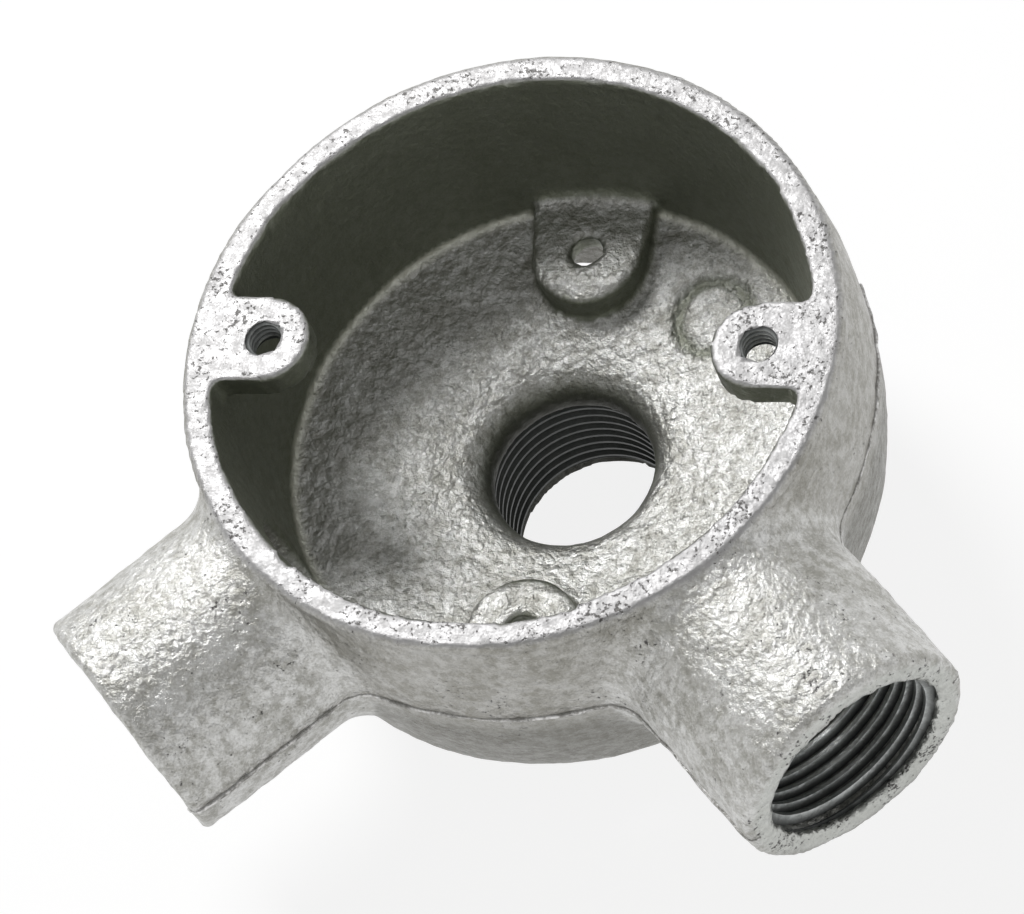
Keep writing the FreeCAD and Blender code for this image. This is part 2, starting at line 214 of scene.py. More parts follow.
def about(mount, points):
    """How far each point lies along a mount's axis from its middle, and from that axis."""
    axis = np.array(mount["axis"])
    offset = points - in_mm(mount["pos_m"])
    along = offset @ axis
    return along, np.linalg.norm(offset - np.outer(along, axis), axis=1)


def inner_wall(height):
    """Radius of the drafted inside wall at a height."""
    share = np.clip(height / FLOOR_EDGE, 0, 1)
    return MOUTH_RADIUS + (FLOOR_RADIUS - MOUTH_RADIUS) * share


def floor_height(radius):
    """Height of the dished floor at a radius."""
    return FLOOR_EDGE - FLOOR_SLOPE * (FLOOR_RADIUS - radius)


print("parting plane at", parting_height, "mm, boss tops at", boss_top, "mm")

# %% [markdown]
# ## Room for the threads
# Each outlet is tapped. The thread is made later as a piece of its own, so
# here the wall of each tapped bore is moved out to the root of the thread. A
# corner belongs to that wall if it lies along the bore, or just past its end,
# and close to the bore's radius.

# %% Move the tapped walls out to the thread's root
PIPE_PITCH = 1.5
PIPE_DEPTH = 0.8
SCREW_PITCH = 0.7
SCREW_DEPTH = 0.33
LUG_THICKNESS = 3.4
ROOT_ROOM = 0.06
PAST_BORE_END = 0.3
WALL_BAND = 0.45

screws = mounts["cover_screws"]["dims"]
bores = [
    (np.array(outlet["axis"]), in_mm(outlet["pos_m"]), outlet["dims"]["r_mm"],
     outlet["dims"]["length_mm"], PIPE_PITCH, PIPE_DEPTH) for outlet in outlets]
for side in (-1, 1):
    lug_middle = np.array((side * screws["spacing_x_mm"] / 2, 0, -LUG_THICKNESS / 2))
    bores.append((
        np.array((0, 0, 1)), lug_middle, screws["hole_r_mm"],
        LUG_THICKNESS, SCREW_PITCH, SCREW_DEPTH))


def open_bore(points, axis, middle, size, length, depth):
    """Move the wall of a tapped bore out to the thread's root."""
    offset = points - middle
    along = offset @ axis
    foot = middle + np.outer(along, axis)
    away = np.linalg.norm(points - foot, axis=1)
    wall = np.abs(along) < length / 2 + PAST_BORE_END
    wall &= np.abs(away - size) < depth * WALL_BAND
    spread = (points - foot) / np.maximum(away, TINY)[:, None]
    opened = foot + spread * (size + depth + ROOT_ROOM)
    return np.where(wall[:, None], opened, points), wall


tapped = np.zeros(count, bool)
for axis, middle, size, length, pitch, depth in bores:
    skin, wall = open_bore(skin, axis, middle, size, length, depth)
    tapped |= wall
print("tapped walls:", int(tapped.sum()), "corners moved in", len(bores), "bores")

# %% [markdown]
# ## Where the bosses meet the wall
# On the casting a hollow curve joins each boss's flat top to the wall. Corners
# near that edge are pushed out onto an arc, most in the middle of the boss and
# not at all beside it.

# %% Round the roots of the bosses
BOSS_ROOT = 1.9
ROOT_SLACK = 0.2
ROOT_WIDTH = (BOSS_HALF_WIDTH + 1.0, BOSS_HALF_WIDTH - 0.4)


def rounded_roots(points):
    """Push the corner between a boss's top and the wall out onto an arc."""
    away = np.hypot(points[:, 0], points[:, 1])
    from_wall = inner_wall(points[:, 2]) - away
    over_top = points[:, 2] - boss_top
    near = (from_wall > -ROOT_SLACK) & (from_wall < BOSS_ROOT)
    near &= (over_top > -ROOT_SLACK) & (over_top < BOSS_ROOT)
    in_corner = np.stack([from_wall, over_top], axis=1) - BOSS_ROOT
    stretch = BOSS_ROOT / np.maximum(np.linalg.norm(in_corner, axis=1), TINY)
    share = step(*ROOT_WIDTH, np.abs(points[:, 0])) * near * (stretch < 1)
    move = in_corner * (stretch - 1)[:, None] * share[:, None]
    grown = points.copy()
    scale = (away - move[:, 0]) / np.maximum(away, TINY)
    grown[:, 0] *= scale
    grown[:, 1] *= scale
    grown[:, 2] += move[:, 1]
    return grown


skin = rounded_roots(skin)
print("boss roots rounded to", BOSS_ROOT, "mm")

# %% [markdown]
# ## The rim's ragged inner edge
# The mould leaves the inner edge of the rim a little wavy, with a few short
# stretches where the lip has broken back. Beside the two lugs the lip is left
# as it is, since the wall there runs straight into the lug.

# %% Make the rim's inner edge ragged
LIP_WAVE = 0.13
LIP_HEIGHT = (-1.6, -0.2)
LIP_BAND = (1.3, 0.5)
LUG_ROOM = 6.5
LONG_WAVES = (46, 3.0)
SHORT_WAVES = (120, 8.0)
SHORT_SHARE = 0.6
CHIP_EDGE = 0.8
LIP_CHIPS = [
    # azimuth, half width, both in degrees, and depth in mm
    (-75.0, 7.5, 0.30),
    (-127.0, 2.2, 0.35),
    (-104.0, 3.0, 0.14),
    (152.0, 3.5, 0.2),
    (38.0, 4.0, 0.2),
]


def turning_noise(azimuth, waves, seed):
    """Smooth noise round a circle, with about so many waves in a turn."""
    reach = waves / (2 * math.pi)
    return np.array([
        noise.noise(Vector((math.cos(angle) * reach, math.sin(angle) * reach, seed)))
        for angle in azimuth])


def ragged_lip(points):
    """Move the rim's inner edge out and in along the wall's thickness."""
    away = np.hypot(points[:, 0], points[:, 1])
    azimuth = np.arctan2(points[:, 1], points[:, 0])
    near = step(*LIP_HEIGHT, points[:, 2]) * step(*LIP_BAND, np.abs(away - MOUTH_RADIUS))
    near = near * (np.abs(points[:, 1]) > LUG_ROOM)
    short = SHORT_SHARE * turning_noise(azimuth, *SHORT_WAVES)
    wave = LIP_WAVE * (turning_noise(azimuth, *LONG_WAVES) + short)
    for place, half_width, depth in LIP_CHIPS:
        apart = np.abs((np.degrees(azimuth) - place + 180) % 360 - 180)
        wave += depth * step(half_width, half_width - CHIP_EDGE, apart)
    scale = 1 + near * wave / np.maximum(away, TINY)
    moved = points.copy()
    moved[:, 0] *= scale
    moved[:, 1] *= scale
    return moved


skin = ragged_lip(skin)
print("lip waves by", LIP_WAVE, "mm with", len(LIP_CHIPS), "chips")

# %% [markdown]
# ## The flare round the throat
# The floor of the bowl rolls over into the back outlet's throat. In the CAD
# model the two meet at a crease. On a casting there is none, so corners near
# it move towards the average of their neighbours, over and over.

# %% Melt the crease round the throat
FLARE_ROUNDS = 60
MELT_PACE = 0.6
FLARE_STARTS = (11.0, 12.5)
FLARE_ENDS = (18.0, 16.5)
FLARE_LOWEST = -28.0
FLARE_UP = 0.2


def melted(points, share, rounds):
    """Points relaxed towards their neighbours; the share is 0 where nothing moves."""
    edges = np.empty(len(body.data.edges) * 2, int)
    body.data.edges.foreach_get("vertices", edges)
    edges = edges.reshape(-1, 2)
    edges = edges[(share[edges] > 0).any(axis=1)]
    ends = np.concatenate([edges, edges[:, ::-1]])
    degree = np.maximum(np.bincount(ends[:, 0], minlength=len(points)), 1)
    for _ in range(rounds):
        middle = np.stack([
            np.bincount(ends[:, 0], weights=points[ends[:, 1], k], minlength=len(points)) / degree
            for k in range(3)], axis=1)
        points = points + (middle - points) * share[:, None] * MELT_PACE
    return points


from_axis = np.hypot(skin[:, 0], skin[:, 1])
on_top = (skin[:, 2] > FLARE_LOWEST) & (facing[:, 2] > FLARE_UP)
crease = on_top * step(*FLARE_STARTS, from_axis) * step(*FLARE_ENDS, from_axis)
skin = melted(skin, crease, FLARE_ROUNDS)
print("crease melted at", int((crease > 0).sum()), "corners")

# %% [markdown]
# ## The round bed on the floor
# Such boxes have a small round bed cast into the floor, where a foundry puts
# its mark. Here it is left bare: a shallow ring with a plain pad in its middle.
# The groove of the ring is painted darker, as shade.

# %% Sink the round bed
BED_RADIUS = 4.6
BED_PLACE = 21.3
BED_AZIMUTH = math.radians(49.5)
BED_DEPTH = 0.5
PAD_RADIUS = 3.3
PAD_RISE = 0.36
SOFT_EDGE = 0.3
SHADE_SPILL = 0.4
FLOOR_BAND = 0.6
FLOOR_UP = 0.5

bed_middle = BED_PLACE * np.array((math.cos(BED_AZIMUTH), math.sin(BED_AZIMUTH)))
from_bed = np.linalg.norm(skin[:, :2] - bed_middle, axis=1)
on_floor = np.abs(skin[:, 2] - floor_height(from_axis)) < FLOOR_BAND
on_floor &= facing[:, 2] > FLOOR_UP
sunk = BED_DEPTH * step(BED_RADIUS + SOFT_EDGE, BED_RADIUS - SOFT_EDGE, from_bed)
sunk -= PAD_RISE * step(PAD_RADIUS + SOFT_EDGE, PAD_RADIUS - SOFT_EDGE, from_bed)
skin[:, 2] -= sunk * on_floor
# the groove round the pad, painted dark as shade
bed_ring_shade = on_floor * step(BED_RADIUS + SHADE_SPILL, BED_RADIUS - SOFT_EDGE, from_bed)
bed_ring_shade = bed_ring_shade * step(PAD_RADIUS - SHADE_SPILL, PAD_RADIUS + SOFT_EDGE, from_bed)
print("bed sunk by", BED_DEPTH, "mm at", int((sunk * on_floor > 0).sum()), "corners")

# %% [markdown]
# ## Cast skin
# Sand leaves its grain on iron, and zinc runs and lumps over it. The skin is
# moved along its own normals by noise of three widths. How much depends on the
# place: most on the spouts and the bowl's floor, less on the bowl's wall, and
# hardly at all on the rim face, which lies flat against the cover's gasket. The
# same places are kept on the mesh as attributes, for the material to read.

# %% Find the zones of the casting
SPOUT_START = 20.0
SPOUT_ROOT = (36.0, 40.0)
SPOUT_BORE = 8.0
NEAR_SPOUT = 14.0
END_BAND = (SPOUT_REACH - 2.2, SPOUT_REACH - 0.6)
END_RING = (12.4, 11.6)
RIM_BAND = (-0.5, -0.12)
RIM_UP = (0.6, 0.9)
INSIDE_WALL = (1.0, 0.2)
ABOVE_FLOOR = (-1.6, -0.6)
BOWL_FLOOR_UP = (0.35, 0.8)
CORNER_HIGHLIGHT_BAND = (0.85, 0.3)
THROAT_SKIN = 2.6
THROAT_FLARE = 4.5
THROAT_UP = 0.1
THROAT_SHADE = (-25.5, -28.5)
BACK_MOUTH = (-44, -43)
UNDER_SPOUT = (parting_height - 3.0, parting_height - 11.0)
UNDER_BOWL = (parting_height + 0.5, parting_height - 5.0)
OUTER_SIDE = (13.2, 15.5)

up = facing[:, 2]
radius = np.hypot(skin[:, 0], skin[:, 1])
height = skin[:, 2]
spout_along = np.zeros(count)
spout_away = np.full(count, np.inf)
for outlet in outlets[:2]:
    along, away = about(outlet, skin)
    reach = along + float(np.dot(in_mm(outlet["pos_m"]), outlet["axis"]))
    nearer = (away < spout_away) & (reach > SPOUT_START)
    spout_along = np.where(nearer, reach, spout_along)
    spout_away = np.where(nearer, away, spout_away)

rim_face = step(*RIM_BAND, height) * step(*RIM_UP, up)
bowl = step(*INSIDE_WALL, radius - inner_wall(height)) * (1 - rim_face)
bowl = bowl * step(*ABOVE_FLOOR, height - floor_height(radius))
throat = radius < THROAT_RADIUS + THROAT_SKIN
throat |= (radius < THROAT_RADIUS + THROAT_FLARE) & (up > THROAT_UP)
bowl = np.where(throat, step(*BACK_MOUTH, height), bowl)
bowl_floor = bowl * step(*BOWL_FLOOR_UP, up)
to_corner = np.hypot(radius - FLOOR_RADIUS, height - FLOOR_EDGE)
# a thin ring round the corner of the floor, painted pale as a highlight
floor_ring_highlight = step(*CORNER_HIGHLIGHT_BAND, to_corner) * bowl
# deep in the back outlet's throat, painted near black as shade
deep_throat_shade = step(*THROAT_SHADE, height) * throat
on_spout = step(*SPOUT_ROOT, spout_along) * (spout_away > SPOUT_BORE)
# the spouts' ends and mouths, painted pale as light; the same mask also adds pits there
spout_end = step(*END_BAND, spout_along) * step(*END_RING, spout_away)
# everything below the parting line, painted dark as shade under the box
underside_shade = (1 - bowl) * np.where(
    spout_away < NEAR_SPOUT, step(*UNDER_SPOUT, height), step(*UNDER_BOWL, height))
# the outside of the bowl, painted darker and warmer as shade
outer_wall_shade = (1 - bowl) * (1 - rim_face) * step(*OUTER_SIDE, spout_away)
zones = {
    "rim_face": rim_face, "bowl": bowl, "bowl_floor": bowl_floor, "underside_shade": underside_shade,
    "spout_end": spout_end, "throat": deep_throat_shade, "floor_ring_highlight": floor_ring_highlight,
    "outer_wall_shade": outer_wall_shade, "bed_ring_shade": bed_ring_shade}
print("zones:", {name: round(float(share.mean()), 3) for name, share in zones.items()})

# %% Give the skin its relief
SWELL_WIDTH = 9.0
LUMP_WIDTH = 2.6
GRAIN_WIDTH = 1.25
SWELL_HEIGHT = 0.16
LUMP_HEIGHT = 0.05
GRAIN_HEIGHT = 0.05
FALL_OFF = 0.9
FINER_BY = 2.1
BOX_ROOM = 0.01


def relief(points, width, octaves, seed):
    """Fractal noise over the points, with features about so wide in millimetres."""
    shift = Vector((seed, seed * 1.7, seed * 0.6))
    return np.array([
        noise.fractal(Vector(place) / width + shift, FALL_OFF, FINER_BY, octaves)
        for place in points])


swells = relief(skin, SWELL_WIDTH, 2, 11.0)
lumps = relief(skin, LUMP_WIDTH, 2, 23.0)
grains = relief(skin, GRAIN_WIDTH, 2, 37.0)
# in mm: each zone adds to the plain height, or takes from it
swell_size = SWELL_HEIGHT * (1 - rim_face) * (1 - 0.4 * bowl)
lump_size = LUMP_HEIGHT + 0.05 * on_spout + 0.07 * bowl_floor - 0.03 * rim_face
grain_size = GRAIN_HEIGHT + 0.03 * on_spout + 0.02 * bowl_floor - 0.03 * rim_face
grain_size = grain_size - 0.02 * (bowl - bowl_floor)
lift = swell_size * swells + lump_size * lumps + grain_size * grains
lift = np.where(tapped, 0, lift)
skin = skin + facing * lift[:, None]


def within_box(places):
    """Places kept just inside the CAD box."""
    return np.clip(places, in_mm(cad_low) + BOX_ROOM, in_mm(cad_high) - BOX_ROOM)


move_corners(body.data, within_box(skin))
for name, share in zones.items():
    mark = body.data.attributes.new(name, "FLOAT", "POINT")
    mark.data.foreach_set("value", share.astype(np.float32))
for face in body.data.polygons:
    face.use_smooth = True
body.data.update()
print("skin moved by up to", round(float(np.abs(lift).max()), 2), "mm")

# %% [markdown]
# ## Node helpers
# Materials and Geometry Nodes trees are both graphs. A few helpers keep the
# cells below short. One adds a node and fills its inputs, one starts a group
# with named inputs and outputs, and the rest are a sum, a soft ramp and a mix.

# %% Helpers for node trees
def add_node(tree, kind, inputs=None, **settings):
    """A node of a kind; each input is a value, or a socket to link from."""
    made = tree.nodes.new(kind)
    for key, value in settings.items():
        setattr(made, key, value)
    for key, value in (inputs or {}).items():
        if isinstance(value, bpy.types.NodeSocket):
            tree.links.new(value, made.inputs[key])
        else:
            made.inputs[key].default_value = value
    return made


def new_tree(name, kind, inputs, outputs):
    """A node group with named sockets, given as name: (socket type, default)."""
    tree = bpy.data.node_groups.new(name, kind)
    for label, (socket, value) in inputs.items():
        made = tree.interface.new_socket(label, in_out="INPUT", socket_type=socket)
        if value is not None:
            made.default_value = value
    for label, socket in outputs.items():
        tree.interface.new_socket(label, in_out="OUTPUT", socket_type=socket)
    return tree, tree.nodes.new("NodeGroupInput"), tree.nodes.new("NodeGroupOutput")


def sums(tree, operation, first, second):
    """The result socket of one sum on two numbers or sockets."""
    return add_node(tree, "ShaderNodeMath", {0: first, 1: second}, operation=operation).outputs[0]


def ramped(tree, value, low, high, floor=0.0, top=1.0):
    """A value mapped smoothly from low..high to floor..top."""
    return add_node(
        tree, "ShaderNodeMapRange",
        {"Value": value, "From Min": low, "From Max": high, "To Min": floor, "To Max": top},
        interpolation_type="SMOOTHSTEP").outputs["Result"]


def mixed(tree, share, first, second):
    """Two colours mixed by a share."""
    mix = add_node(tree, "ShaderNodeMix", {0: share, 6: first, 7: second}, data_type="RGBA")
    return mix.outputs[2]


print("helpers ready")

# %% [markdown]
# ## Effects that every finish shares
# Zinc on cast iron has cloudy patches, a sandy grain with tiny lumps, and dark
# pits where the zinc did not take. Each is a node group with its own sizes in
# millimetres, used by the skin, the threads and the parting line alike. The
# Object coordinates are in metres, so a scale is a thousand over the width.

# %% Build the shared effects
MM_IN_M = 1000.0
CLOUD_EDGES = (0.36, 0.64)
CLOUD_FINER = 5.3
WARP = (0.0005, 0.0005, 0.0005)
GRAIN_FINER = 2.6
GRAIN_SHARE = 0.8
PATCH_WIDER = 0.12
PIT_LEVEL = 1.08
PIT_EDGES = (-0.03, 0.1)


def cloud_group():
    """Cloudy patches: a value about one half that drifts over the surface."""
    tree, given, result = new_tree(
        "zinc_clouds", "ShaderNodeTree",
        {"Place": ("NodeSocketVector", None), "Width": ("NodeSocketFloat", 4.0)},
        {"Value": "NodeSocketFloat"})
    scale = sums(tree, "DIVIDE", MM_IN_M, given.outputs["Width"])
    broad = add_node(tree, "ShaderNodeTexNoise", {
        "Vector": given.outputs["Place"], "Scale": scale, "Detail": 4.0, "Roughness": 0.62})
    fine = add_node(tree, "ShaderNodeTexNoise", {
        "Vector": given.outputs["Place"], "Scale": sums(tree, "MULTIPLY", scale, CLOUD_FINER),
        "Detail": 3.0, "Roughness": 0.6})
    blend = sums(tree, "ADD", sums(tree, "MULTIPLY", broad.outputs["Fac"], 0.6),
                 sums(tree, "MULTIPLY", fine.outputs["Fac"], 0.4))
    tree.links.new(ramped(tree, blend, *CLOUD_EDGES), result.inputs["Value"])
    return tree


def sand_group():
    """Sandy grain: a height made of rounded lumps with finer grain over them."""
    tree, given, result = new_tree(
        "sand_grain", "ShaderNodeTree",
        {"Place": ("NodeSocketVector", None), "Width": ("NodeSocketFloat", 0.8)},
        {"Height": "NodeSocketFloat"})
    scale = sums(tree, "DIVIDE", MM_IN_M, given.outputs["Width"])
    warp = add_node(tree, "ShaderNodeTexNoise", {
        "Vector": given.outputs["Place"], "Scale": scale, "Detail": 2.0})
    bent = add_node(
        tree, "ShaderNodeVectorMath", {0: warp.outputs["Color"], 1: WARP}, operation="MULTIPLY")
    moved = add_node(
        tree, "ShaderNodeVectorMath", {0: given.outputs["Place"], 1: bent.outputs[0]})
    lump = add_node(
        tree, "ShaderNodeTexVoronoi",
        {"Vector": moved.outputs[0], "Scale": scale, "Smoothness": 0.7}, feature="SMOOTH_F1")
    fine = add_node(tree, "ShaderNodeTexNoise", {
        "Vector": given.outputs["Place"], "Scale": sums(tree, "MULTIPLY", scale, GRAIN_FINER),
        "Detail": 3.0, "Roughness": 0.65})
    sandy = sums(tree, "MULTIPLY", fine.outputs["Fac"], GRAIN_SHARE)
    grain = sums(tree, "SUBTRACT", sandy, lump.outputs["Distance"])
    tree.links.new(grain, result.inputs["Height"])
    return tree


def pit_group():
    """Dark pits: a mask of small round spots, more of them where the amount is higher."""
    tree, given, result = new_tree(
        "zinc_pits", "ShaderNodeTree",
        {"Place": ("NodeSocketVector", None), "Width": ("NodeSocketFloat", 0.5),
         "Amount": ("NodeSocketFloat", 0.5)},
        {"Mask": "NodeSocketFloat"})
    scale = sums(tree, "DIVIDE", MM_IN_M, given.outputs["Width"])
    spots = add_node(tree, "ShaderNodeTexNoise", {
        "Vector": given.outputs["Place"], "Scale": scale, "Detail": 2.5, "Roughness": 0.7})
    patches = add_node(tree, "ShaderNodeTexNoise", {
        "Vector": given.outputs["Place"], "Scale": sums(tree, "MULTIPLY", scale, PATCH_WIDER),
        "Detail": 2.0})
    patchy = sums(tree, "MULTIPLY", patches.outputs["Fac"], 0.5)
    level = sums(tree, "ADD", spots.outputs["Fac"], patchy)
    edge = sums(tree, "SUBTRACT", PIT_LEVEL, sums(tree, "MULTIPLY", given.outputs["Amount"], 0.3))
    mask = ramped(tree, sums(tree, "SUBTRACT", level, edge), *PIT_EDGES)
    tree.links.new(mask, result.inputs["Mask"])
    return tree


clouds = cloud_group()
sand = sand_group()
pits = pit_group()
print("effects:", clouds.name, sand.name, pits.name)

# %% [markdown]
# ## The zinc finishes
# The skin is a mottle of bright and dull zinc. Outside and below it is painted
# darker as shade, the inside wall is olive and painted darker as shade, and the
# throat is painted near black as shade. The rim face is an even grey, and the
# spouts' ends and the corner round the floor are painted pale as light. The
# zones found on the mesh steer one material, so no zone has a hard border.

# %% Build the skin's material
ZINC_BRIGHT = (0.80, 0.80, 0.785, 1)
ZINC_DULL = (0.33, 0.322, 0.282, 1)
# olive zinc, darkened further as painted shade
ZINC_WALL_OLIVE_SHADE = (0.20, 0.215, 0.16, 1)
# painted highlight in the corner round the floor
ZINC_EDGE_HIGHLIGHT = (0.80, 0.80, 0.72, 1)
# painted shade deep in the throat
ZINC_THROAT_SHADE = (0.10, 0.10, 0.085, 1)
# painted shade below the parting line
ZINC_UNDER_SHADE = (0.15, 0.147, 0.128, 1)
ZINC_FACE = (0.43, 0.425, 0.43, 1)
# painted shade on the outside of the bowl
ZINC_OUTER_SHADE = (0.25, 0.235, 0.195, 1)
# painted light on the spouts' ends
ZINC_END_LIGHT = (0.68, 0.695, 0.66, 1)
PIT_DARK = (0.13, 0.125, 0.12, 1)
ZONE_TONES = [
    # zone, how far it goes to its tone, tone; a later row lies over an earlier one
    # painted shade on the outside of the bowl
    ("outer_wall_shade", 0.4, ZINC_OUTER_SHADE),
    # painted shade below the parting line
    ("underside_shade", 0.62, ZINC_UNDER_SHADE),
    # painted light on the spouts' ends
    ("spout_end", 0.8, ZINC_END_LIGHT),
    # the inside wall: olive, with painted shade over it
    ("bowl_wall", 0.9, ZINC_WALL_OLIVE_SHADE),
    # painted highlight in the corner round the floor
    ("floor_ring_highlight", 0.95, ZINC_EDGE_HIGHLIGHT),
    # painted shade in the bed's groove
    ("bed_ring_shade", 0.75, ZINC_WALL_OLIVE_SHADE),
    # painted shade deep in the throat; the same zone is also made less metallic
    ("throat", 0.9, ZINC_THROAT_SHADE),
    ("rim_face", 0.85, ZINC_FACE),
]
SKIN_BUMP = 0.2 * MM


def effect(tree, group, **inputs):
    """A shared effect placed in a material, with its own values."""
    return add_node(tree, "ShaderNodeGroup", inputs, node_tree=group).outputs[0]


def zone(tree, name):
    """A zone of the skin, from 0 to 1, as marked on the mesh."""
    return add_node(tree, "ShaderNodeAttribute", attribute_name=name).outputs["Fac"]


def new_material(name):
    """A node material, its Principled shader and its Object coordinates."""
    made = bpy.data.materials.new(name)
    made.use_nodes = True
    tree = made.node_tree
    place = add_node(tree, "ShaderNodeTexCoord").outputs["Object"]
    return made, tree, tree.nodes["Principled BSDF"], place


def skin_material():
    """Galvanised cast skin, steered by the zones on the mesh."""
    made, tree, shader, place = new_material("galvanised_skin")
    found = {name: zone(tree, name) for name in zones}
    found["bowl_wall"] = sums(tree, "SUBTRACT", found["bowl"], found["bowl_floor"])
    face, wall = found["rim_face"], found["bowl_wall"]

    def share_of(part, share):
        """A share of one value."""
        return sums(tree, "MULTIPLY", part, share)

    cloud = effect(tree, clouds, Place=place, Width=5.0)
    flecks = effect(tree, clouds, Place=place, Width=1.3)
    bright = sums(tree, "ADD", ramped(tree, cloud, 0.0, 1.0, 0.05, 0.45),
                  ramped(tree, flecks, 0.0, 1.0, 0.1, 0.55))
    colour = mixed(tree, bright, ZINC_DULL, ZINC_BRIGHT)
    for name, share, tone in ZONE_TONES:
        colour = mixed(tree, share_of(found[name], share), colour, tone)

    more_pits = share_of(sums(tree, "ADD", face, found["spout_end"]), 0.3)
    amount = sums(tree, "ADD", 0.45, more_pits)
    dark = effect(tree, pits, Place=place, Width=0.55, Amount=amount)
    open_skin = sums(tree, "SUBTRACT", 1.0, share_of(found["bowl"], 0.75))
    colour = mixed(tree, sums(tree, "MULTIPLY", dark, open_skin), colour, PIT_DARK)
    tree.links.new(colour, shader.inputs["Base Color"])

    rough = ramped(tree, flecks, 0.0, 1.0, 0.44, 0.30)
    duller = sums(tree, "ADD", share_of(wall, 0.12), share_of(face, 0.14))
    tree.links.new(sums(tree, "ADD", rough, duller), shader.inputs["Roughness"])
    metal = sums(tree, "SUBTRACT", 0.8, share_of(found["throat"], 0.45))
    metal = sums(tree, "SUBTRACT", metal, share_of(dark, 0.4))
    tree.links.new(metal, shader.inputs["Metallic"])

    grain = effect(tree, sand, Place=place, Width=0.85)
    grain = sums(tree, "SUBTRACT", grain, share_of(dark, 0.5))
    calm = sums(tree, "ADD", share_of(face, 0.72), share_of(wall, 0.6))
    raised = sums(tree, "MULTIPLY", grain, sums(tree, "SUBTRACT", 1.0, calm))
    bump = add_node(tree, "ShaderNodeBump", {
        "Strength": 1.0, "Distance": SKIN_BUMP, "Height": raised})
    tree.links.new(bump.outputs["Normal"], shader.inputs["Normal"])
    return made


skin_finish = skin_material()
body.data.materials.clear()
body.data.materials.append(skin_finish)
print("skin material has", len(skin_finish.node_tree.nodes), "nodes")

# %% [markdown]
# ## Finish of the threads and of the parting line
# The threads are cut or dipped last, so they are smoother than the skin. Their
# roots are painted dark as shade and their crests painted bright as light. The
# parting line is a thin web of iron that has been knocked off, and its rubbed
# top is brighter than the skin beside it.

# %% Build the two smaller finishes
# dark roots as painted shade, bright crests as painted light
THREAD_ROOT_SHADE_AND_CREST_LIGHT = ((0.035, 0.04, 0.038, 1), (0.55, 0.57, 0.56, 1))
FLASH_TONES = ((0.42, 0.41, 0.38, 1), (0.84, 0.835, 0.82, 1))
CREST_MOTTLE = (0.7, 1.0)
DULL_IS_ROUGHER = 0.14
METAL_RANGE = (0.3, 0.85)


def plain_zinc(name, tones, roughness, grain_width, grain_height, painted_light_mark=None):
    """Zinc with cloudy patches and a fine grain; the optional mark is 1 where it is painted bright as
    light and low where it is painted dark as shade.
    """
    made, tree, shader, place = new_material(name)
    cloud = effect(tree, clouds, Place=place, Width=1.6)
    dark = effect(tree, pits, Place=place, Width=0.4, Amount=0.5)
    share = cloud
    if painted_light_mark:
        share = sums(tree, "MULTIPLY", zone(tree, painted_light_mark), ramped(tree, cloud, 0.0, 1.0, *CREST_MOTTLE))
    colour = mixed(tree, share, *tones)
    colour = mixed(tree, sums(tree, "MULTIPLY", dark, 0.7), colour, PIT_DARK)
    tree.links.new(colour, shader.inputs["Base Color"])
    rough = ramped(tree, share, 0.0, 1.0, roughness + DULL_IS_ROUGHER, roughness)
    tree.links.new(rough, shader.inputs["Roughness"])
    tree.links.new(ramped(tree, share, 0.0, 1.0, *METAL_RANGE), shader.inputs["Metallic"])
    grain = effect(tree, sand, Place=place, Width=grain_width)
    bump = add_node(tree, "ShaderNodeBump", {
        "Strength": 1.0, "Distance": grain_height, "Height": grain})
    tree.links.new(bump.outputs["Normal"], shader.inputs["Normal"])
    return made


thread_finish = plain_zinc("galvanised_thread", THREAD_ROOT_SHADE_AND_CREST_LIGHT, 0.28, 0.6, 0.03 * MM, painted_light_mark="crest")
flash_finish = plain_zinc("galvanised_flash", FLASH_TONES, 0.36, 0.5, 0.04 * MM)
print("finishes:", skin_finish.name, thread_finish.name, flash_finish.name)

# %% [markdown]
# ## Threads
# A thread is one small profile swept along a spiral, so Geometry Nodes make it
# from a few named sizes: the same tree cuts the pipe threads and the little
# screw threads. The sweep shrinks at both ends, which is how a tap leaves off.

# %% Build the thread tree
ROOT_SHARE = 0.46
THINNEST = 0.03


